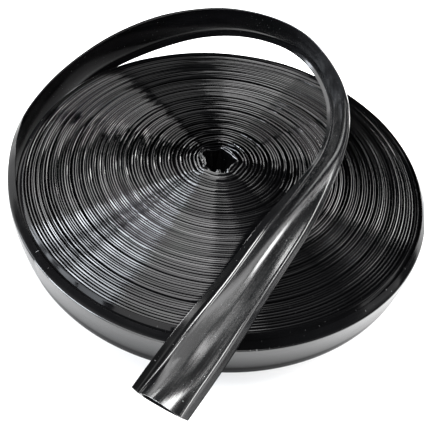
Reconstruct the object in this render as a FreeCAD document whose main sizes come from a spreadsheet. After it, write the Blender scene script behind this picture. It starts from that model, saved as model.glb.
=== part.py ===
import FreeCAD, Part
import math
import os
import Sketcher
from FreeCAD import Placement, Rotation, Vector

# A flat soaker hose, wound on edge into a roll that lies on its side.
#
# The hose is one continuous plastic strip: a tube of two films that lies flat between two seams,
# with a narrow fin outside each seam that folds towards the inside of the roll.  Three nodes hold
# its three stretches: the tight turns, the slack last turn, and the free stretch that springs up
# over the roll and ends in a plain cut.
#
# Millimetres, +Z up.  The origin is on the roll's axis, at the surface that the roll lies on.

# Driving dimensions: alias, value, meaning.  They are the cells of the sheet Sizes.
SIZES = [
    ("tube_width", 25.0, "flat width of the tube, seam to seam"),
    ("fin_reach", 3.4, "how far a folded fin reaches inwards, and beyond the tube"),
    ("strip_thickness", 0.9, "two films, pressed flat"),
    ("tight_radius", 126.0, "outside of the tight turns"),
    ("core_radius", 10.0, "open core inside the first turn"),
    ("slack_start", 127.1, "radius of the slack turn where it leaves the tight turns"),
    ("slack_growth", 0.725, "how much wider each quarter of the slack turn is than the last"),
    ("leaving_angle", 45.0, "turn about the axis, from -X, of the point where the strip is free"),
]

# The free stretch begins where the slack turn ends and first runs straight on, on edge.  The
# route goes on through these points.  Each has the lean of the strip there, in degrees: a strip
# on edge has no lean, and a positive lean tips its upper edge to the right of the way it runs.
FIRST_RUN = 21.0
FREE_ROUTE = [
    ((-127.0, -39.0, 16.8), -2.5),
    ((-138.5, 7.5, 17.4), -5.0),
    ((-134.0, 54.5, 19.4), -2.0),
    ((-115.0, 97.0, 26.7), 9.0),
    ((-81.5, 122.0, 38.4), 12.0),
    ((-38.0, 130.5, 53.8), 21.0),
    ((5.0, 124.5, 63.2), 28.0),
    ((48.0, 100.0, 66.2), 28.0),
    ((71.5, 61.0, 57.6), 10.0),
    ((74.0, 18.5, 48.0), -18.5),
    ((58.0, -22.0, 45.1), -40.5),
    ((39.0, -61.5, 43.4), -59.5),
    ((19.0, -100.5, 40.1), -60.5),
    ((0.0, -134.5, 37.7), -70.0),
    ((-13.5, -160.5, 35.9), -65.5),
]
ARC_SHARE = 0.45            # share of the shorter run that an arc takes at a corner
ARC_STEP_DEG = 6.0          # most turn between two sections along an arc
RUN_STEP = 12.0             # longest distance between two sections along a straight run
VOLUME_TOLERANCE = 0.03     # of the section times the length
POLYGON_GUESS = 20.0        # mm, size of a polygon before its constraints place its corners
SLACK_GUESS = 130.0         # mm, radius of the slack turn before its constraints are solved

UP = Vector(0, 0, 1)
START, END, CENTRE = 1, 2, 3                # a line's or an arc's points, as Sketcher counts them
ACROSS_AXIS, UPWARD_AXIS = -1, -2           # a sketch's own axes, as Sketcher counts them

# Shared expressions.  FIN_LIFT is half the strip's thickness across a fin folded at 45 degrees.
FIN_LIFT = "Sizes.strip_thickness / 2 * cos(45)"
SEAM_MITRE = "Sizes.strip_thickness / 2 * tan(22.5)"
LOW_SEAM = f"(Sizes.fin_reach + {FIN_LIFT})"
HIGH_SEAM = f"({LOW_SEAM} + Sizes.tube_width)"
HEIGHT = f"({HIGH_SEAM} + Sizes.fin_reach + {FIN_LIFT})"


def make_sheet(doc):
    """The sheet of driving dimensions, one row each: name, value, meaning."""
    sheet = doc.addObject("Spreadsheet::Sheet", "Sizes")
    for row, (alias, value, meaning) in enumerate(SIZES, start=1):
        sheet.set(f"A{row}", alias)
        sheet.set(f"B{row}", str(value))
        sheet.set(f"C{row}", meaning)
        sheet.setAlias(f"B{row}", alias)
    doc.recompute()
    return sheet


def add_sketch(body, name, plane_role):
    """A sketch on one of the body's own origin planes."""
    plane = next(item for item in body.Origin.OriginFeatures if item.Role == plane_role)
    sketch = body.newObject("Sketcher::SketchObject", name)
    sketch.AttachmentSupport = [(plane, "")]
    sketch.MapMode = "FlatFace"
    return sketch


def place_point(sketch, geometry, point, across, upward):
    """Fix a point by two expressions, measured from the sketch's origin."""
    for kind, expression, axis in (("DistanceX", across, UPWARD_AXIS),
                                   ("DistanceY", upward, ACROSS_AXIS)):
        if expression == "0":
            sketch.addConstraint(Sketcher.Constraint("PointOnObject", geometry, point, axis))
            continue
        index = sketch.addConstraint(Sketcher.Constraint(kind, -1, START, geometry, point, 1.0))
        sketch.setExpression(f"Constraints[{index}]", expression)


def bound_polygon(sketch, corners):
    """A closed polygon whose corners are pairs of expressions."""
    count = len(corners)
    angles = [2 * math.pi * k / count for k in range(count)]
    guesses = [Vector(math.cos(angle), math.sin(angle), 0) * POLYGON_GUESS
               for angle in angles]
    for k in range(count):
        sketch.addGeometry(Part.LineSegment(guesses[k], guesses[(k + 1) % count]), False)
    for k in range(count):
        following = (k + 1) % count
        sketch.addConstraint(Sketcher.Constraint("Coincident", k, END, following, START))
    for k, (across, upward) in enumerate(corners):
        place_point(sketch, k, START, across, upward)


def make_tight_turns(doc):
    """The wound turns as one closed ring, chamfered where the outermost fins fold in."""
    body = doc.addObject("PartDesign::Body", "TightTurns")
    body.Label = "wound_turns"
    outline = add_sketch(body, "RollOutline", "XZ_Plane")
    fin_edge = "Sizes.tight_radius - Sizes.fin_reach"
    bound_polygon(outline, [
        ("Sizes.core_radius", "0"),
        (fin_edge, "0"),
        ("Sizes.tight_radius", LOW_SEAM),
        ("Sizes.tight_radius", HIGH_SEAM),
        (fin_edge, HEIGHT),
        ("Sizes.core_radius", HEIGHT),
    ])
    ring = body.newObject("PartDesign::Revolution", "RollRing")
    ring.Profile = outline
    ring.ReferenceAxis = (outline, ["V_Axis"])
    ring.Angle = 360.0
    return body


def quarter_radius(quarter):
    """The radius of one quarter of the slack turn, as an expression."""
    return f"Sizes.slack_start + ({quarter} + 0.5) * Sizes.slack_growth"


def slack_turn_path(body):
    """Four tangent quarter arcs, each wider than the last, from -X clockwise round to -X."""
    path = add_sketch(body, "SlackPath", "XY_Plane")
    for quarter in range(4):
        guess = SLACK_GUESS + quarter
        circle = Part.Circle(Vector(0, 0, 0), UP, guess)
        first_angle = math.radians(90 - 90 * quarter)
        path.addGeometry(Part.ArcOfCircle(circle, first_angle, first_angle + math.pi / 2), False)
        index = path.addConstraint(Sketcher.Constraint("Radius", quarter, guess))
        path.setExpression(f"Constraints[{index}]", quarter_radius(quarter))
        flat_end, upright_end = (END, START) if quarter % 2 == 0 else (START, END)
        path.addConstraint(Sketcher.Constraint("Horizontal", quarter, CENTRE, quarter, flat_end))
        path.addConstraint(Sketcher.Constraint("Vertical", quarter, CENTRE, quarter, upright_end))
    for quarter in range(3):
        path.addConstraint(Sketcher.Constraint("Coincident", quarter, START, quarter + 1, END))
    place_point(path, 0, END, "-Sizes.slack_start", "0")
    return path


def strip_corners(middle, inward):
    """The strip's section on edge: middle is the tube's middle plane, inward is +1 or -1."""
    half = "Sizes.strip_thickness / 2"
    sign = "+" if inward > 0 else "-"
    back = "-" if inward > 0 else "+"
    fin = f"{middle} {sign} Sizes.fin_reach"
    return [
        (f"{fin} {back} {FIN_LIFT}", "0"),
        (f"{middle} {back} {half}", f"{LOW_SEAM} - {SEAM_MITRE}"),
        (f"{middle} {back} {half}", f"{HIGH_SEAM} + {SEAM_MITRE}"),
        (f"{fin} {back} {FIN_LIFT}", HEIGHT),
        (f"{fin} {sign} {FIN_LIFT}", f"{HEIGHT} - 2 * {FIN_LIFT}"),
        (f"{middle} {sign} {half}", f"{HIGH_SEAM} - {SEAM_MITRE}"),
        (f"{middle} {sign} {half}", f"{LOW_SEAM} + {SEAM_MITRE}"),
        (f"{fin} {sign} {FIN_LIFT}", f"2 * {FIN_LIFT}"),
    ]


def make_slack_turn(doc):
    """The last turn round the roll, which has sprung a little away from it."""
    body = doc.addObject("PartDesign::Body", "SlackTurn")
    body.Label = "last_turn"
    path = slack_turn_path(body)
    section = add_sketch(body, "SlackSection", "XZ_Plane")
    bound_polygon(section, strip_corners("-Sizes.slack_start", +1))
    doc.recompute()
    pipe = body.newObject("PartDesign::AdditivePipe", "SlackPipe")
    pipe.Profile = section
    pipe.Spine = (path, ["Edge1", "Edge2", "Edge3", "Edge4"])
    body.setExpression("Placement.Rotation.Angle", "Sizes.leaving_angle")
    return body


def round_corner(before, corner, after):
    """The arc at a corner of the route: its first point, centre, axis, radius and turn."""
    run_in, run_out = corner - before, after - corner
    shorter = min(run_in.Length, run_out.Length)
    turn = run_in.getAngle(run_out)
    radius = ARC_SHARE * shorter / math.tan(turn / 2)
    axis = run_in.cross(run_out).normalize()
    first = corner - run_in.normalize() * ARC_SHARE * shorter
    centre = first + axis.cross(run_in) * radius
    return first, centre, axis, radius, turn


def free_sections(points):
    """Where the strip's sections stand: position, direction, and share of the run covered."""
    print("free stretch, turn and radius at each corner:")
    direction = (points[1] - points[0]).normalize()
    sections = [(points[0], direction, 0.0)]
    for k in range(1, len(points) - 1):
        first, centre, axis, radius, turn = round_corner(*points[k - 1:k + 2])
        print(f"  {k:2d}  {math.degrees(turn):5.1f} deg  {radius:7.1f} mm")
        steps = max(2, math.ceil(math.degrees(turn) / ARC_STEP_DEG))
        last = sections[-1][0]
        fill = math.ceil((first - last).Length / RUN_STEP)
        for step in range(1, fill):
            share = k - 0.5 + (ARC_SHARE - 0.5) * (1 - step / fill)
            sections.append((last + (first - last) * (step / fill), direction, share))
        for step in range(steps + 1):
            part_turn = Rotation(axis, math.degrees(turn) * step / steps)
            position = centre + part_turn.multVec(first - centre)
            share = k + ARC_SHARE * (2 * step / steps - 1)
            sections.append((position, part_turn.multVec(direction), share))
        direction = sections[-1][1]
    sections.append((points[-1], direction, float(len(points) - 1)))
    return sections


def section_frame(direction, lean):
    """The strip's upward edge direction and its inner face's direction at a section."""
    upright = (UP - direction * direction.dot(UP)).normalize()
    right = direction.cross(upright)
    upward = upright * math.cos(math.radians(lean)) + right * math.sin(math.radians(lean))
    return upward, direction.cross(upward)


def loose_section(sizes):
    """The strip's section as (along its width, towards its inner face), from its middle."""
    half = sizes.strip_thickness / 2
    lift = half * math.cos(math.radians(45))
    mitre = half * math.tan(math.radians(22.5))
    seam = sizes.tube_width / 2
    edge = seam + sizes.fin_reach
    outer = [(-edge - lift, sizes.fin_reach - lift), (-seam - mitre, -half),
             (seam + mitre, -half), (edge + lift, sizes.fin_reach - lift)]
    inner = [(edge - lift, sizes.fin_reach + lift), (seam - mitre, half),
             (-seam + mitre, half), (-edge + lift, sizes.fin_reach + lift)]
    return outer + inner


def flat_face(*corners):
    """A planar face from three or more corners."""
    return Part.Face(Part.makePolygon(list(corners) + [corners[0]]))


def strip_solid(rings):
    """A closed solid through the strip's sections, in flat triangles because the strip twists.

    The outer and the inner side are cut along matching diagonals, so they stay parallel.
    """
    faces = [flat_face(*rings[0]), flat_face(*rings[-1])]
    count = len(rings[0])
    for near, far in zip(rings, rings[1:]):
        for k in range(count):
            following = (k + 1) % count
            quad = [near[k], near[following], far[following], far[k]]
            if k >= count // 2:
                quad = quad[1:] + quad[:1]
            faces.append(flat_face(quad[0], quad[1], quad[2]))
            faces.append(flat_face(quad[0], quad[2], quad[3]))
    solid = Part.Solid(Part.Shell(faces))
    if solid.Volume < 0:
        solid.reverse()
    return solid


def make_free_stretch(doc, sizes):
    """The stretch that leaves the roll, loops over it and ends in a plain cut."""
    seam_height = sizes.fin_reach + sizes.strip_thickness / 2 * math.cos(math.radians(45))
    middle = seam_height + sizes.tube_width / 2
    last_radius = sizes.slack_start + 4 * sizes.slack_growth
    round_axis = Rotation(UP, sizes.leaving_angle)
    leave = round_axis.multVec(Vector(-last_radius, 0, middle))
    straight_on = leave + round_axis.multVec(Vector(0, FIRST_RUN, 0))
    points = [leave, straight_on] + [Vector(*point) for point, _ in FREE_ROUTE]
    leans = [0.0, 0.0] + [lean for _, lean in FREE_ROUTE]
    outline = loose_section(sizes)
    rings = []
    for position, direction, share in free_sections(points):
        whole = min(int(share), len(leans) - 2)
        lean = leans[whole] + (leans[whole + 1] - leans[whole]) * (share - whole)
        upward, inward = section_frame(direction, lean)
        rings.append([position + upward * along + inward * depth for along, depth in outline])
    middles = [sum(ring, Vector()) * (1 / len(ring)) for ring in rings]
    length = sum((far - near).Length for near, far in zip(middles, middles[1:]))
    stretch = doc.addObject("Part::Feature", "FreeStretch")
    stretch.Label = "free_stretch"
    stretch.Shape = strip_solid(rings)
    stretch.Placement = Placement()
    expected = flat_face(*rings[0]).Area * length
    print(f"free stretch: length {length:.1f} mm, volume {stretch.Shape.Volume:.0f} mm3, "
          f"section times length {expected:.0f} mm3")
    if abs(stretch.Shape.Volume / expected - 1) > VOLUME_TOLERANCE:
        raise ValueError("the free stretch's volume is wrong")
    return stretch


def export_nodes(doc, nodes):
    """Check every object and every node's solid, then write one STEP file per node."""
    for item in doc.Objects:
        if {"Invalid", "Error"} & set(item.State):
            raise ValueError(f"{item.Name} failed: {item.State}")
    for node in nodes:
        if node.Shape.isNull() or not node.Shape.isValid():
            raise ValueError(f"{node.Label} has no valid shape")
        box = node.Shape.BoundBox
        print(f"{node.Label}: {len(node.Shape.Solids)} solid, {node.Shape.Volume:.0f} mm3, "
              f"z {box.ZMin:.2f} to {box.ZMax:.2f}")
    os.makedirs("parts", exist_ok=True)
    for node in nodes:
        node.Shape.exportStep(f"parts/{node.Label}.step")


def main():
    doc = FreeCAD.newDocument("SoakerHose")
    sizes = make_sheet(doc)
    nodes = [make_tight_turns(doc), make_slack_turn(doc)]
    doc.recompute()
    nodes.append(make_free_stretch(doc, sizes))
    doc.recompute()
    export_nodes(doc, nodes)


main()
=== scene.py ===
"""Looks of a flat black soaker hose, wound on edge into a roll, with its outer end left free.

Everything is in metres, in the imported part's own frame: the roll's axis is +Z, it lies on the
surface z = 0, and the free stretch leaves it at its front left.
"""

import math

import bpy
import numpy as np
from mathutils import Matrix, Vector


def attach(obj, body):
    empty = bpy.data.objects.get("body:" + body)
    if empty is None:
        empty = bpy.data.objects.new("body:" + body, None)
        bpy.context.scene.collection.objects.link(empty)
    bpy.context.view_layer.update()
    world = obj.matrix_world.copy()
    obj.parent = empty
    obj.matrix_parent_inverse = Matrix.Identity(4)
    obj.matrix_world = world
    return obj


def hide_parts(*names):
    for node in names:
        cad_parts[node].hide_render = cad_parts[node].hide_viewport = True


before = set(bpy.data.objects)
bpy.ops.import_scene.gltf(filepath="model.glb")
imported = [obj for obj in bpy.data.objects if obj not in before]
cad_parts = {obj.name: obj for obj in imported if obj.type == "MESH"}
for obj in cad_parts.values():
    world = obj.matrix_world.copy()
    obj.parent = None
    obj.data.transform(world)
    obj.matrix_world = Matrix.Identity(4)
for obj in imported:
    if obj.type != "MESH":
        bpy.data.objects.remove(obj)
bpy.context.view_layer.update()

# ---- the strip, as part.py has it ----
TUBE_WIDTH = 0.025          # seam to seam, pressed flat
FIN_LENGTH = 0.0048         # along the fin, from the seam
FIN_FOLD = 45.0             # degrees, towards the inside of the roll
FILM_PAIR = 0.0009          # two films pressed together
FIN_THICK = 0.0005          # two films welded together
FIN_PARTS = (0.50, 0.28, 0.22)              # a fin's three straight parts, from its foot on
FIN_RIM_CHAMFER = 0.00012
FILM_THICK = 0.00025        # one film, where the cut shows it
MIDDLE = 0.016218           # height of the middle of the tube
LEAVING = 225.0             # angle about the axis where the strip leaves the roll
SLACK_START, SLACK_END = 0.1271, 0.1300     # radius of the last turn where it starts and ends
SLACK_RUN = 0.1305          # radius that the strip coordinate of the last turn is counted with

# The free stretch's route, in metres, and the strip's lean there in degrees.
FIRST_RUN = 0.021
FREE_ROUTE = [
    ((-0.1270, -0.0390, 0.0168), -2.5),
    ((-0.1385, 0.0075, 0.0174), -5.0),
    ((-0.1340, 0.0545, 0.0194), -2.0),
    ((-0.1150, 0.0970, 0.0267), 9.0),
    ((-0.0815, 0.1220, 0.0384), 12.0),
    ((-0.0380, 0.1305, 0.0538), 21.0),
    ((0.0050, 0.1245, 0.0632), 28.0),
    ((0.0480, 0.1000, 0.0662), 28.0),
    ((0.0715, 0.0610, 0.0576), 10.0),
    ((0.0740, 0.0185, 0.0480), -18.5),
    ((0.0580, -0.0220, 0.0451), -40.5),
    ((0.0390, -0.0615, 0.0434), -59.5),
    ((0.0190, -0.1005, 0.0401), -60.5),
    ((0.0000, -0.1345, 0.0377), -70.0),
    ((-0.0135, -0.1605, 0.0359), -65.5),
]

# How far the free stretch's two fins fold, in degrees, at places along it in metres.
LOW_FOLD_PLACES = (0.0, 0.06, 0.30, 0.37, 0.395, 0.44, 0.46, 0.478, 0.495, 0.52, 0.59, 0.667)
LOW_FOLDS = (44.0, 44.0, 26.0, 26.0, 43.0, 45.0, 38.0, 31.0, 30.0, 34.0, 47.0, 60.0)
HIGH_FOLD_PLACES = (0.0, 0.03, 0.075, 0.12, 0.37, 0.455, 0.52, 0.587, 0.667)
HIGH_FOLDS = (74.0, 80.0, 76.0, 44.0, 39.0, 37.5, 25.0, 29.0, 22.0)

# The roll as it is seen: separate turns, wound outwards from the open core.
TURNS = 68.0
TURN_STEPS = 200            # stations to a turn
FIRST_RADIUS = 0.0102
ROLL_PIECES = 5
# How far apart the turns are, in parts of the mean, after so many turns from the core or
# before the last.
CORE_TURNS, CORE_SPACING = (0, 4, 8, 18, 22), (2.8, 2.4, 1.9, 1.7, 1.42)
RIM_TURNS, RIM_SPACING = (2.5, 1.3, 0.7, 0.0), (1.47, 1.5, 1.9, 2.3)

# The free stretch near its cut end, where the tube gapes.
FLARE_LENGTH = 0.031
FLARE_RISE = 0.0028
FILM_POINTS, BEND_POINTS = 25, 7            # of the free stretch's section
FIN_POINTS = 4                              # of a fin, before its bend

# Turn numbers of the last turn and the free stretch, which only set their noise apart.
LAST_TURN_NUMBER, FREE_TURN_NUMBER = 82.0, 90.0

SHARP_EDGE = math.radians(38.0)             # a greater turn between faces isn't smoothed
BLACK = (0.0018, 0.0018, 0.0020)
WAVE_BUMP, STREAK_BUMP = 0.00005, 0.00001   # metres
UP = np.array((0.0, 0.0, 1.0))


# ---------------------------------------------------------------- small tools
def ripple(x, step, seed):
    """Smooth random values between -1 and 1 along x, which change over about one step."""
    x = np.asarray(x, float)
    place = x / step
    cell = np.floor(place).astype(int)
    part = place - cell
    part = part * part * (3 - 2 * part)
    first = cell.min()
    lattice = np.random.RandomState(seed).uniform(-1, 1, int(cell.max() - first) + 2)
    return lattice[cell - first] * (1 - part) + lattice[cell - first + 1] * part


def ease(x, low, high):
    """0 below low, 1 above high, smooth between."""
    t = np.clip((np.asarray(x, float) - low) / (high - low), 0, 1)
    return t * t * (3 - 2 * t)


def wrap(angle):
    """The same angle between -pi and pi."""
    return (np.asarray(angle) + np.pi) % (2 * np.pi) - np.pi


def unit(v):
    """The same directions, one long."""
    return v / np.linalg.norm(v, axis=-1, keepdims=True)


def mesh_piece(name, vertices, faces, coords, material):
    """A smooth mesh with its strip coordinates."""
    mesh = bpy.data.meshes.new(name)
    mesh.from_pydata(vertices.tolist(), [], faces)
    mesh.validate()
    layer = mesh.attributes.new("strip", "FLOAT_VECTOR", "POINT")
    layer.data.foreach_set("vector", np.asarray(coords, np.float32).ravel())
    mesh.shade_smooth()
    mesh.set_sharp_from_angle(angle=SHARP_EDGE)
    mesh.materials.append(material)
    piece = bpy.data.objects.new(name, mesh)
    bpy.context.scene.collection.objects.link(piece)
    return piece


# ---------------------------------------------------------------- the strip's section
def bend_points(start, corner, end, count):
    """A rounded corner: points on the curve from start to end that corner pulls towards it."""
    t = np.linspace(0, 1, count)[None, :, None]
    return ((1 - t) ** 2 * start[:, None] + 2 * t * (1 - t) * corner[:, None]
            + t ** 2 * end[:, None])


def section(stations, fold_low=FIN_FOLD, fold_high=FIN_FOLD, crown=0.0, bulge=0.0,
            lean_crown=0.0, reach=FIN_LENGTH, flare=0.0, square=0.62, fillet=0.0009,
            low_fillet=None, pillow=1.1, film_points=17, bend_count=5):
    """Outer and inner side of the strip, each from the low fin's tip to the high fin's tip.

    Sizes are numbers or one value per station.  The result is two arrays, stations x points
    x (along the width, towards the inner face).  crown raises the inner film's middle, bulge
    the outer film's, and lean_crown moves the inner film's crest towards the high fin.  A
    greater pillow draws both crests in to the middle.  flare is how many degrees less than
    its fold the high fin turns halfway out, inside its rim, and square is how much of its
    thickness its tip keeps.  The fillets are how far the bend at each seam reaches.
    """
    def each(value):
        return np.broadcast_to(np.asarray(value, float), (stations,))

    fold_low, fold_high, crown, bulge, lean_crown, reach, flare, pillow = (
        each(v) for v in (fold_low, fold_high, crown, bulge, lean_crown, reach, flare, pillow))
    half_width = TUBE_WIDTH / 2
    weld = FIN_THICK / 2
    sides = []
    for side in (-1.0, 1.0):
        height = crown if side > 0 else bulge

        def film_at(a):
            share = np.clip(a / half_width, -1, 1)
            swell = (1 - share ** 2) ** pillow[:, None]
            skew = lean_crown[:, None] * share * (1 - share ** 2) * 2.6     # peaks at 1
            open_up = (FILM_PAIR / 2 - weld) * ease(1 - np.abs(share), 0.0, 0.3)
            return side * (weld + open_up + height[:, None] * swell) + (
                skew if side > 0 else 0)

        ends = []
        for sign, fold, dip, round_off in (
                (-1.0, fold_low, np.zeros_like(flare), low_fillet or fillet),
                (1.0, fold_high, flare, fillet)):
            def run_at(fold):
                turn = np.radians(fold)
                return np.stack([sign * np.cos(turn), np.sin(turn)], -1)

            def normal_at(fold):
                turn = np.radians(fold)
                return np.stack([-sign * np.sin(turn), np.cos(turn)], -1)

            foot_fold, middle_fold, rim_fold = fold + 0.4 * dip, fold - dip, fold + 0.1 * dip
            foot_part, middle_part, rim_part = FIN_PARTS
            seam = np.array([sign * half_width, 0.0])
            long = reach[:, None]
            half_out = seam + run_at(foot_fold) * foot_part * long
            rim = half_out + run_at(middle_fold) * middle_part * long
            tip = rim + run_at(rim_fold) * rim_part * long
            bisector = normal_at(foot_fold) + np.array([0.0, 1.0])
            bisector = bisector / (1 + np.cos(np.radians(foot_fold)))[:, None]
            corner = seam + side * weld * bisector
            foot = corner + run_at(foot_fold) * round_off
            edge = np.abs(corner[:, :1]) - round_off
            film_start = np.concatenate([sign * edge, film_at(sign * edge)], -1)
            bend = bend_points(foot, corner, film_start, bend_count)
            fin = np.stack([
                tip + side * weld * square * normal_at(rim_fold),
                tip - run_at(rim_fold) * FIN_RIM_CHAMFER + side * weld * normal_at(rim_fold),
                rim + side * weld * normal_at((middle_fold + rim_fold) / 2),
                half_out + side * weld * normal_at((foot_fold + middle_fold) / 2)], 1)
            fin = np.concatenate([fin, bend], 1)
            ends.append((fin if sign < 0 else fin[:, ::-1], edge))
        share = np.linspace(-1, 1, film_points + 2)[None, 1:-1]
        low_edge, high_edge = ends[0][1], ends[1][1]
        a = np.where(share < 0, share * low_edge, share * high_edge)
        film = np.stack([a, film_at(a)], -1)
        sides.append(np.concatenate([ends[0][0], film, ends[1][0]], 1))
    return sides


def sweep(centre, upward, inward, outer, inner):
    """Ring of points at every station, outer side first and then the inner side back."""
    def place(side):
        return (centre[:, None, :] + side[:, :, :1] * upward[:, None, :]
                + side[:, :, 1:] * inward[:, None, :])
    return np.concatenate([place(outer), place(inner)[:, ::-1]], 1)


def tube_faces(stations, ring):
    """Quads all the way round between each station's ring and the next."""
    faces = []
    for s in range(stations - 1):
        a, b = s * ring, (s + 1) * ring
        for k in range(ring):
            n = (k + 1) % ring
            faces.append((a + k, a + n, b + n, b + k))
    return faces


def cap_faces(base, ring, flip, open_from=0, open_to=0):
    """Quads across the strip's thickness at one end, but none from open_from to open_to."""
    half = ring // 2
    faces = []
    for k in range(half - 1):
        if open_from <= k < open_to:
            continue
        quad = (base + k, base + k + 1, base + ring - 2 - k, base + ring - 1 - k)
        faces.append(quad[::-1] if flip else quad)
    return faces


def strip_mesh(centre, upward, inward, outer, inner, run, turn_number, open_end=None):
    """Vertices, faces and strip coordinates of a length of strip, capped at both ends.

    The coordinates are along the strip, across it, and the number of the turn.  open_end is
    the films' first and last point, between which the far end has no cap.
    """
    rings = sweep(centre, upward, inward, outer, inner)
    stations, ring = rings.shape[:2]
    faces = tube_faces(stations, ring)
    faces += cap_faces(0, ring, True)
    faces += cap_faces((stations - 1) * ring, ring, False, *(open_end or (0, 0)))
    across = np.concatenate([outer[:, :, 0], inner[:, ::-1, 0]], 1)
    turn_number = np.broadcast_to(np.asarray(turn_number, float), (stations,))
    coords = np.stack([np.repeat(run[:, None], ring, 1), across,
                       np.repeat(turn_number[:, None], ring, 1)], -1)
    return rings.reshape(-1, 3), faces, coords.reshape(-1, 3)


def mouth(line, upward, inward, outer, inner, first, last):
    """The cut tube's rim and the pocket behind it: vertices, faces, and which faces are the rim.

    first and last are the films' first and last points.  The new vertices come after those
    of the strip.
    """
    ring = 2 * outer.shape[1]
    start = (len(line) - 1) * ring          # the last station's first vertex
    depths = (-1, -6, -16)                  # stations of the rim, the pocket and its floor
    vertices, faces = [], []
    for depth in depths:
        for side, shift in ((outer, FILM_THICK), (inner, -FILM_THICK)):
            film = side[depth, first:last + 1] + np.array([0.0, shift])
            vertices.append(line[depth] + film[:, :1] * upward[depth]
                            + film[:, 1:] * inward[depth])
    count = last - first + 1
    new = start + ring
    lips = []
    for layer in range(2):
        for k in range(count - 1):
            if layer == 0:
                a, b = start + first + k, start + first + k + 1
            else:
                a, b = start + ring - 1 - first - k, start + ring - 2 - first - k
            c = new + layer * count + k
            quad = (a, b, c + 1, c)
            lips.append(len(faces))
            faces.append(quad if layer == 0 else quad[::-1])
            for deep in range(len(depths) - 1):
                d, e = c + 2 * deep * count, c + 2 * (deep + 1) * count
                quad = (d, d + 1, e + 1, e)
                faces.append(quad if layer == 0 else quad[::-1])
    return np.concatenate(vertices), faces, lips


# ---------------------------------------------------------------- materials
class Nodes:
    """A new material with a Principled shader, and short ways to add nodes to it."""

    def __init__(self, name):
        self.material = bpy.data.materials.new(name)
        self.material.use_nodes = True
        self.links = self.material.node_tree.links
        self.shader = self.material.node_tree.nodes["Principled BSDF"]

    def add(self, kind, values=None, **settings):
        node = self.material.node_tree.nodes.new(kind)
        for key, value in settings.items():
            setattr(node, key, value)
        for key, value in (values or {}).items():
            node.inputs[key].default_value = value
        return node

    def link(self, output, node, key):
        self.links.new(output, node.inputs[key])

    def ramp(self, source, low, high, out_low, out_high, **settings):
        """source's range from low to high, spread from out_low to out_high."""
        node = self.add("ShaderNodeMapRange", {"From Min": low, "From Max": high,
                                               "To Min": out_low, "To Max": out_high},
                        **settings)
        self.link(source, node, "Value")
        return node.outputs["Result"]

    def combine(self, operation, first, second):
        """What a maths operation makes of two values."""
        node = self.add("ShaderNodeMath", operation=operation)
        self.link(first, node, 0)
        self.link(second, node, 1)
        return node.outputs["Value"]

    def noise(self, vector, scale, detail, roughness=0.5):
        """Noise of a vector stretched by three scales."""
        mapping = self.add("ShaderNodeMapping", {"Scale": scale})
        self.link(vector, mapping, "Vector")
        node = self.add("ShaderNodeTexNoise", {"Scale": 1.0, "Detail": detail,
                                               "Roughness": roughness})
        self.link(mapping.outputs["Vector"], node, "Vector")
        return node.outputs["Fac"]

    def blend(self, factor, first, second):
        """A colour between two; first may be another node's colour."""
        node = self.add("ShaderNodeMix", data_type="RGBA")
        node.inputs[7].default_value = (*second, 1.0)
        if isinstance(first, tuple):
            node.inputs[6].default_value = (*first, 1.0)
        else:
            self.link(first, node, 6)
        self.link(factor, node, "Factor")
        return node.outputs[2]

    def parts(self, vector):
        """The three parts of a vector, as X, Y and Z."""
        node = self.add("ShaderNodeSeparateXYZ")
        self.link(vector, node, "Vector")
        return node.outputs

    def bump(self, height, distance, normal=None):
        """A surface's normal, or another bump's, tilted by a height of up to distance metres."""
        node = self.add("ShaderNodeBump", {"Strength": 1.0, "Distance": distance})
        self.link(height, node, "Height")
        if normal:
            self.link(normal, node, "Normal")
        return node.outputs["Normal"]


def film_material(name, rough, gloss, wave=WAVE_BUMP, specks=0.5):
    """Glossy black polyethylene: lines drawn along the strip, slight waves and dust.

    gloss takes the tools and the strip's coordinates and returns the specular level.  The
    coordinates are along and across the strip, in metres, and the number of the turn, and
    the three scales of each noise stretch them in that order.
    """
    tools = Nodes(name)
    shader = tools.shader
    shader.inputs["IOR"].default_value = 1.51
    strip = tools.add("ShaderNodeAttribute", attribute_name="strip").outputs["Vector"]

    lines = tools.noise(strip, (9.0, 1500.0, 3.0), 2.0, 0.6)
    clouds = tools.noise(strip, (30.0, 90.0, 2.0), 3.0)
    dust = tools.noise(strip, (900.0, 900.0, 7.0), 1.0)
    waves = tools.noise(strip, (55.0, 120.0, 5.0), 1.0)

    tone = tools.ramp(clouds, 0.3, 0.75, 0.0, 1.0)
    colour = tools.blend(tone, BLACK, tuple(1.9 * c for c in BLACK))
    speck = tools.ramp(dust, 0.74, 0.80, 0.0, specks)
    tools.link(tools.blend(speck, colour, (0.30, 0.30, 0.30)), shader, "Base Color")

    line_rough = tools.ramp(lines, 0.3, 0.7, rough - 0.04, rough + 0.05)
    cloud_rough = tools.ramp(clouds, 0.3, 0.75, -0.03, 0.07)
    tools.link(tools.combine("ADD", line_rough, cloud_rough), shader, "Roughness")
    tools.link(gloss(tools, strip), shader, "Specular IOR Level")

    drawn = tools.bump(lines, STREAK_BUMP)
    tools.link(tools.bump(waves, wave, drawn), shader, "Normal")
    return tools.material


def free_gloss(tools, strip):
    """Painted shade over the loop, whose reflection is dulled so that it looks dark; glossy
    where the free stretch comes back across the roll.
    """
    # painted shade: the reflection is dulled along the loop
    return tools.ramp(tools.parts(strip)["X"], 0.24, 0.44, 0.10, 0.5)


def wound_gloss(tools, strip):
    """A little different from turn to turn, at random, and with painted shade on the outermost
    turns, whose reflection is dulled so that they look dark.
    """
    turns = tools.noise(strip, (9.0, 0.0, 1.27), 1.0)
    level = tools.ramp(turns, 0.32, 0.68, 0.24, 0.76)
    # painted shade: the outermost turns' reflection is dulled
    outer = tools.ramp(tools.parts(strip)["Z"], TURNS - 1.65, TURNS - 1.45, 1.0, 0.22)
    return tools.combine("MULTIPLY", level, outer)


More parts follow.
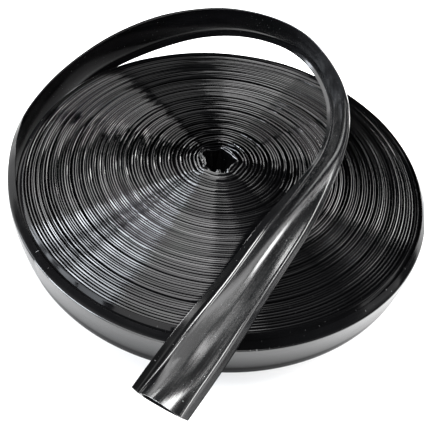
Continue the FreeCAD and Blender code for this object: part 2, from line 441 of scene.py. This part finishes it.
def wall_gloss(tools, strip):
    """Painted shade on the roll's wall: glossy at its top, its reflection dulled towards its
    foot and on its fin so that these look darker.
    """
    across = tools.parts(strip)["Y"]
    # painted shade: the reflection fades from the wall's top towards its foot
    level = tools.ramp(across, -0.006, 0.0125, 0.02, 0.92)
    # painted shade: the fin's reflection is dulled so that it looks black
    fin = tools.ramp(across, 0.0126, 0.0129, 1.0, 0.12)
    return tools.combine("MULTIPLY", level, fin)


def cut_material():
    """The cut through the film, which is matt, with a pale patchy colour that is a painted
    highlight along the cut.
    """
    tools = Nodes("polyethylene_cut")
    tools.shader.inputs["Roughness"].default_value = 0.5
    place = tools.add("ShaderNodeTexCoord")
    highlight_patches = tools.add("ShaderNodeTexNoise", {"Scale": 260.0})
    tools.link(place.outputs["Object"], highlight_patches, "Vector")
    # painted highlight: the pale patches stand for light caught by the cut
    tone = tools.ramp(highlight_patches.outputs["Fac"], 0.35, 0.65, 0.03, 0.75)
    tools.link(tone, tools.shader, "Base Color")
    return tools.material


def painted_light_floor():
    """A white floor whose glow is painted light: painted shade next to the roll, a painted
    shadow with no glow at all under it, and a glow brighter to the right and dimmer in front.
    """
    tools = Nodes("painted_light_floor")
    shader = tools.shader
    shader.inputs["Roughness"].default_value = 0.6
    shader.inputs["Specular IOR Level"].default_value = 0.2
    shader.inputs["Emission Color"].default_value = (1.0, 1.0, 1.0, 1.0)
    place = tools.add("ShaderNodeTexCoord").outputs["Object"]
    distance = tools.add("ShaderNodeVectorMath", operation="LENGTH")
    tools.link(place, distance, 0)
    distance = distance.outputs["Value"]
    # painted shadow: no glow under the roll
    outside = tools.add("ShaderNodeMath", {1: 0.124}, operation="GREATER_THAN")
    tools.link(distance, outside, 0)
    smoothly = {"interpolation_type": "SMOOTHSTEP"}
    # painted shade: the glow dims next to the roll
    shade = tools.ramp(distance, 0.131, 0.152, 0.30, 1.0, **smoothly)
    parts = tools.parts(place)
    # painted light: the glow is brighter to the right and dimmer in front
    side = tools.ramp(parts["X"], -0.15, 0.10, 1.25, 2.4, **smoothly)
    front = tools.ramp(parts["Y"], -0.15, -0.10, 0.60, 1.0, **smoothly)
    around = tools.combine("MULTIPLY", side, front)
    strength = tools.combine("MULTIPLY", shade, around)
    glow = tools.combine("MULTIPLY", strength, outside.outputs["Value"])
    tools.link(glow, shader, "Emission Strength")
    grain = tools.add("ShaderNodeTexNoise", {"Scale": 14.0})
    colour = tools.blend(grain.outputs["Fac"], (0.34, 0.34, 0.34), (0.36, 0.36, 0.36))
    tools.link(colour, shader, "Base Color")
    return tools.material


# ---------------------------------------------------------------- camera
def set_camera():
    """A camera in front of the roll and above it, turned a little about its own axis."""
    pitch, yaw, roll = (math.radians(a) for a in (49.53, -0.97, 6.316))
    forward = Vector((math.sin(yaw) * math.cos(pitch), math.cos(yaw) * math.cos(pitch),
                      -math.sin(pitch)))
    level = Vector((math.cos(yaw), -math.sin(yaw), 0.0))
    above = level.cross(forward)
    right = level * math.cos(roll) + above * math.sin(roll)
    top = above * math.cos(roll) - level * math.sin(roll)
    data = bpy.data.cameras.new("camera")
    data.sensor_fit = "HORIZONTAL"
    data.sensor_width = 36.0
    data.lens = 41.06
    data.clip_start = 0.01
    camera = bpy.data.objects.new("camera", data)
    bpy.context.scene.collection.objects.link(camera)
    turn = Matrix((right, top, -forward)).transposed().to_4x4()
    camera.matrix_world = Matrix.Translation((0.0010, -0.2304, 0.2447)) @ turn
    bpy.context.scene.camera = camera


# ---------------------------------------------------------------- the free stretch
def route_points():
    """The route's points and leans, from the leaving point on."""
    angle = math.radians(LEAVING)
    leave = Vector((SLACK_END * math.cos(angle), SLACK_END * math.sin(angle), MIDDLE))
    tangent = Vector((math.sin(angle), -math.cos(angle), 0.0))
    points = [leave, leave + tangent * FIRST_RUN] + [Vector(p) for p, _ in FREE_ROUTE]
    leans = [0.0, 0.0] + [lean for _, lean in FREE_ROUTE]
    return points, leans


def route_line(points):
    """Points read from the smooth line that has the route as its control points."""
    curve = bpy.data.curves.new("route", "CURVE")
    curve.dimensions = "3D"
    spline = curve.splines.new("NURBS")
    spline.points.add(len(points) - 1)
    for control, place in zip(spline.points, points):
        control.co = (*place, 1.0)
    spline.order_u = 3
    spline.use_endpoint_u = True
    spline.resolution_u = 26
    holder = bpy.data.objects.new("route", curve)
    bpy.context.scene.collection.objects.link(holder)
    mesh = bpy.data.meshes.new_from_object(holder)
    line = np.array([v.co for v in mesh.vertices], float)
    bpy.data.objects.remove(holder)
    bpy.data.curves.remove(curve)
    bpy.data.meshes.remove(mesh)
    return line


def strip_frame(line, lean):
    """The strip's upward and inward directions at every point of a line."""
    along = unit(np.gradient(line, axis=0))
    upright = unit(UP - along * (along @ UP)[:, None])
    right = np.cross(along, upright)
    turn = np.radians(lean)[:, None]
    upward = upright * np.cos(turn) + right * np.sin(turn)
    return upward, np.cross(along, upward)


def on_edge_frame(line):
    """The same for a strip that stands on edge all along the line."""
    along = unit(np.gradient(line, axis=0))
    upward = np.tile(UP, (len(line), 1))
    return upward, unit(np.cross(along, upward))


def smooth(values, passes):
    """values with every one drawn towards its neighbours, so many times over."""
    for _ in range(passes):
        values = np.concatenate([values[:1], (values[:-2] + 2 * values[1:-1] + values[2:]) / 4,
                                 values[-1:]])
    return values


def build_free_stretch(material):
    """The free stretch: the piece, its middle line and its length."""
    points, leans = route_points()
    line = route_line(points)
    spans = len(points) - 2
    # the middle of each span of the line lies next to one of the route's points
    knots = [0.0] + [k + 0.5 for k in range(spans)] + [float(spans)]
    lean = smooth(np.interp(np.linspace(0, spans, len(line)), knots, leans), 60)
    steps = np.linalg.norm(np.diff(line, axis=0), axis=1)
    run = np.concatenate([[0], np.cumsum(steps)])
    length = run[-1]
    upward, inward = strip_frame(line, lean)
    to_end = length - run
    flaring = np.clip(1 - to_end / FLARE_LENGTH, 0, 1) ** 2.2
    crown = (0.0006 + 0.0011 * ease(run, 0.38, 0.50) - 0.0005 * ease(run, 0.57, 0.62)
             + FLARE_RISE * flaring)
    crown = crown + 0.00025 * ripple(run, 0.045, 11)
    bulge = 0.0003 + 0.0007 * ease(run, 0.0, 0.05) + 0.0004 * ripple(run, 0.05, 12)
    loose = ease(run, 0.01, 0.05)
    fold_low = (np.interp(run, LOW_FOLD_PLACES, LOW_FOLDS)
                + 3 * loose * ripple(run, 0.03, 13))
    fold_high = (np.interp(run, HIGH_FOLD_PLACES, HIGH_FOLDS)
                 + 3 * loose * ripple(run, 0.03, 14))
    outer, inner = section(
        len(line), fold_low=fold_low, fold_high=fold_high, crown=crown, bulge=bulge,
        lean_crown=0.0003 * ease(to_end, 0.05, 0.0) - 0.0009 * flaring,
        pillow=1.1 + 0.5 * ease(run, 0.50, 0.56) - 0.7 * flaring,
        fillet=0.0012, low_fillet=0.0020, film_points=FILM_POINTS, bend_count=BEND_POINTS)
    film = (FIN_POINTS + BEND_POINTS, FIN_POINTS + BEND_POINTS + FILM_POINTS - 1)
    vertices, faces, coords = strip_mesh(line, upward, inward, outer, inner, run,
                                         FREE_TURN_NUMBER, open_end=film)
    rim, rim_faces, lips = mouth(line, upward, inward, outer, inner, *film)
    coords = np.concatenate([coords, np.tile(coords[-1:], (len(rim), 1))])
    piece = mesh_piece("free_stretch_film", np.concatenate([vertices, rim]),
                       faces + rim_faces, coords, material)
    # the rim's pale colour is a painted highlight
    piece.data.materials.append(cut_material())
    for k in lips:
        piece.data.polygons[len(faces) + k].material_index = 1
    return piece, line, length


# ---------------------------------------------------------------- the roll
def spiral():
    """How many turns the strip has made at every station, and its radius there.

    The first turns and the last ones are loose.  Where the winding had slipped, the gap to
    the turn below is wider for a while.
    """
    wound = np.linspace(0, TURNS, int(round(TURNS * TURN_STEPS)) + 1)
    rng = np.random.RandomState(21)
    spacing = np.interp(wound, CORE_TURNS + tuple(TURNS - k for k in RIM_TURNS),
                        CORE_SPACING + RIM_SPACING)
    for place in np.sort(rng.uniform(6.0, TURNS - 3.5, 14)):
        width = rng.uniform(0.08, 0.25)
        size = rng.uniform(0.25, 0.75)
        spacing += size / width * np.exp(-((wound - place) / width) ** 2) / math.sqrt(math.pi)
    radius = np.concatenate([[0], np.cumsum((spacing[1:] + spacing[:-1]) / 2)])
    radius = FIRST_RADIUS + (SLACK_START - FIRST_RADIUS) * radius / radius[-1]
    return wound, radius


def build_roll(material):
    """The wound turns, from the first one round the core out to the slack last turn.

    tied is 1 where the turns are wound and 0 where they join the slack one, crumple fades
    over the first turns, and inner_share over the inner ones.
    """
    wound, radius = spiral()
    angle = np.radians(LEAVING) + 2 * np.pi * (TURNS - wound)
    tied = 1 - ease(wound, TURNS - 0.7, TURNS - 0.1)
    crumple = np.exp(-wound / 4.0)
    inner_share = 1 - ease(wound, 6, 50)
    slack = ease(wound, TURNS - 0.78, TURNS - 0.25)

    # the opening's sides, the roll's slight sway, the strip's own waves, the outer bulges
    hole = (0.0012 * np.cos(angle + 0.15) ** 2
            + 0.0007 * (1 + np.sin(5 * angle + 0.7))
            + 0.0004 * (1 + np.sin(8 * angle + 2.0)))
    radius = radius + crumple * hole * (1 + 0.45 * ripple(wound, 0.21, 31))
    sway = 0.0004 * ripple(wound, 2.7, 32) * np.sin(2 * angle + 1.1)
    radius = radius + tied * sway * ease(wound, 2, 12)
    radius = radius + tied * 0.00020 * ripple(wound, 0.27, 39) * ease(wound, 1, 3)
    radius = radius + lobe(angle) * ease(wound, TURNS - 9, TURNS - 0.6)

    fold = (45.0 - 5.0 * inner_share + 14.0 * crumple + tied * 4.5 * ripple(wound, 0.31, 33)
            + tied * 2.0 * ripple(wound, 0.10, 34) + 12.0 * crumple * ripple(wound, 0.09, 35)
            + slack * (slack_fold(angle) - 45.0) + 50.0 * core_creases(wound, angle))
    low_fold = FIN_FOLD + tied * (4.0 + 3.0 * ripple(wound, 0.4, 40))
    reach = FIN_LENGTH * (1 - tied * (0.03 - 0.05 * ripple(wound, 0.29, 37)))
    flare = tied * (17.0 + 6.0 * ripple(wound, 0.29, 38))
    centre = np.stack([
        radius * np.cos(angle) - 0.0020 * inner_share - 0.0013 * crumple,
        radius * np.sin(angle) - 0.0014 * inner_share + 0.0015 * crumple,
        MIDDLE + tied * (0.00030 * ripple(wound, 0.33, 36) + 0.00020)], -1)

    pieces = []
    bounds = (np.linspace(0, TURNS, ROLL_PIECES + 1).round() * TURN_STEPS).astype(int)
    for part, (first, last) in enumerate(zip(bounds[:-1], bounds[1:]), 1):
        pick = slice(first, last + 1)
        upward, inward = on_edge_frame(centre[pick])
        outer, inner = section(last + 1 - first, fold_low=low_fold[pick], fold_high=fold[pick],
                               reach=reach[pick], flare=flare[pick], square=0.85,
                               film_points=0, bend_count=3, fillet=0.0006)
        run = 2 * np.pi * np.cumsum(radius[pick]) / TURN_STEPS
        shape = strip_mesh(centre[pick], upward, inward, outer, inner, run, wound[pick])
        pieces.append(mesh_piece(f"roll_turns_{part}", *shape, material))
    return pieces


def core_creases(wound, angle):
    """1 where the first turn's high fin is creased down flat at the front of the hole."""
    degrees = np.degrees(angle)
    creases = sum(np.exp(-(np.degrees(wrap(np.radians(degrees - place))) / width) ** 2)
                  for place, width in ((-108, 17), (-66, 9)))
    return ease(1.25 - wound, 0.0, 0.15) * creases


def slack_fold(angle):
    """The high fin's fold on the slack turns, which is pressed flat at the front."""
    return 45.0 + 29.0 * ease(np.cos(angle + math.radians(112.0)), -0.10, 0.65)


def lobe(angle):
    """How far the outer turns bulge, in metres: out at the right front, in at the right."""
    right_front = np.degrees(wrap(angle + math.radians(34))) / 30
    right = np.degrees(wrap(angle - math.radians(32))) / 24
    return 0.0015 * np.exp(-right_front ** 2) - 0.0006 * np.exp(-right ** 2)


def build_last_turn(material):
    """The slack outermost turn, from the wound turns to where the free stretch leaves."""
    turned = np.linspace(0, 1, 361)
    angle = np.radians(LEAVING) - 2 * np.pi * turned
    radius = SLACK_START + (SLACK_END - SLACK_START) * turned + lobe(angle)
    centre = np.stack([radius * np.cos(angle), radius * np.sin(angle),
                       np.full(len(turned), MIDDLE)], -1)
    upward, inward = on_edge_frame(centre)
    run = turned * 2 * np.pi * SLACK_RUN
    tied = ease(run, 0.0, 0.03) * ease(run[-1] - run, 0.0, 0.03)
    bulge = 0.0003 + 0.0002 * tied * ripple(run, 0.06, 41)
    fold_high = slack_fold(angle) + 3.0 * tied * ripple(run, 0.035, 42)
    outer, inner = section(len(turned), fold_high=fold_high, bulge=bulge, film_points=17,
                           bend_count=BEND_POINTS)
    shape = strip_mesh(centre, upward, inward, outer, inner, run, LAST_TURN_NUMBER)
    return mesh_piece("last_turn_film", *shape, material)


# ---------------------------------------------------------------- floor and light
def build_floor():
    """A floor that fills the view, which the part doesn't own."""
    mesh = bpy.data.meshes.new("floor")
    far = 4.0
    mesh.from_pydata([(-far, -far, 0), (far, -far, 0), (far, far, 0), (-far, far, 0)],
                     [], [(0, 1, 2, 3)])
    # the floor's glow is painted light and shade
    mesh.materials.append(painted_light_floor())
    floor = bpy.data.objects.new("floor", mesh)
    bpy.context.scene.collection.objects.link(floor)


def sky_panel(name, azimuth, elevation, wide, tall, radiance, colour=(1.0, 1.0, 1.0),
              distance=1.6):
    """A rectangular soft light of a given brightness, placed and sized by angles in degrees.

    The angles are as seen from the roll: azimuth about +Z from +X, elevation above the floor.
    """
    turn, lift = math.radians(azimuth), math.radians(elevation)
    towards = Vector((math.cos(turn) * math.cos(lift), math.sin(turn) * math.cos(lift),
                      math.sin(lift)))
    width = 2 * distance * math.tan(math.radians(wide / 2)) * math.cos(lift)
    height = 2 * distance * math.tan(math.radians(tall / 2))
    data = bpy.data.lights.new(name, "AREA")
    data.shape = "RECTANGLE"
    data.size, data.size_y = width, height
    data.energy = radiance * math.pi * width * height
    data.color = colour
    light = bpy.data.objects.new(name, data)
    bpy.context.scene.collection.objects.link(light)
    light.location = towards * distance + Vector((0.0, 0.0, 0.03))
    light.rotation_euler = (-towards).to_track_quat("-Z", "Y").to_euler()
    light.visible_camera = False


def set_lights():
    """A dim room, a tall window with frames at the left, and lamps and pale walls around."""
    world = bpy.data.worlds.new("world")
    bpy.context.scene.world = world
    world.use_nodes = True
    background = world.node_tree.nodes["Background"]
    background.inputs["Color"].default_value = (0.95, 0.97, 1.0, 1.0)
    background.inputs["Strength"].default_value = 0.13
    cool = (0.88, 0.93, 1.0)
    # name, azimuth, elevation, width and height in degrees, radiance
    for name, *angles_and_radiance in (
            ("window_a", -178.0, 14.0, 9.5, 32.0, 18.0),
            ("window_b", -166.0, 16.0, 4.0, 32.0, 15.0),
            ("window_c", -154.5, 18.0, 10.0, 36.0, 18.0),
            ("window_d", -141.5, 22.0, 14.0, 40.0, 13.0)):
        sky_panel(name, *angles_and_radiance, cool)
    sky_panel("window_frames", -163.0, 16.0, 20.0, 32.0, 2.5, cool, distance=1.7)
    for name, *angles_and_radiance in (
            ("front_left", -111.0, 34.0, 45.0, 50.0, 3.5),
            ("front_high", -120.0, 57.0, 118.0, 18.0, 3.6),
            ("back_lamp", 121.5, 20.5, 10.5, 7.0, 24.0),
            ("back_glow", 122.0, 7.0, 40.0, 15.0, 2.6),
            ("end_lamp", 107.0, 55.0, 22.0, 18.0, 32.0),
            ("seam_lamp", 139.5, 40.0, 11.0, 12.0, 22.0),
            ("back_left", 161.0, 20.0, 40.0, 40.0, 4.3),
            ("right_high", 17.0, 35.0, 36.0, 26.0, 4.0),
            ("right_back", 46.0, 11.0, 56.0, 30.0, 7.0),
            ("right_low", 63.0, 7.0, 18.0, 14.0, 7.0),
            ("front_right", -36.0, 47.0, 52.0, 16.0, 0.8),
            ("back_middle", 134.0, 17.0, 14.0, 22.0, 1.6)):
        sky_panel(name, *angles_and_radiance)
    bpy.context.scene.view_settings.view_transform = "Standard"


def main():
    """The three stretches in place of the CAD's, the floor, the lamps and the camera."""
    set_camera()
    # this material paints shade over the loop
    film = film_material("polyethylene_film", 0.13, free_gloss)
    # this material paints shade on the outermost turns
    wound = film_material("polyethylene_wound", 0.09, wound_gloss, wave=0.00003, specks=0.08)
    # this material paints shade on the wall: darker towards its foot and on its fin
    wall = film_material("polyethylene_wall_painted_shade", 0.13, wall_gloss)
    free, line, length = build_free_stretch(film)
    roll = build_roll(wound)
    last = build_last_turn(wall)
    for piece in [free, last] + roll:
        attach(piece, "root")
    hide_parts("free_stretch")
    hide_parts("last_turn")
    for piece in roll:
        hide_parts("wound_turns")
    build_floor()
    set_lights()


main()
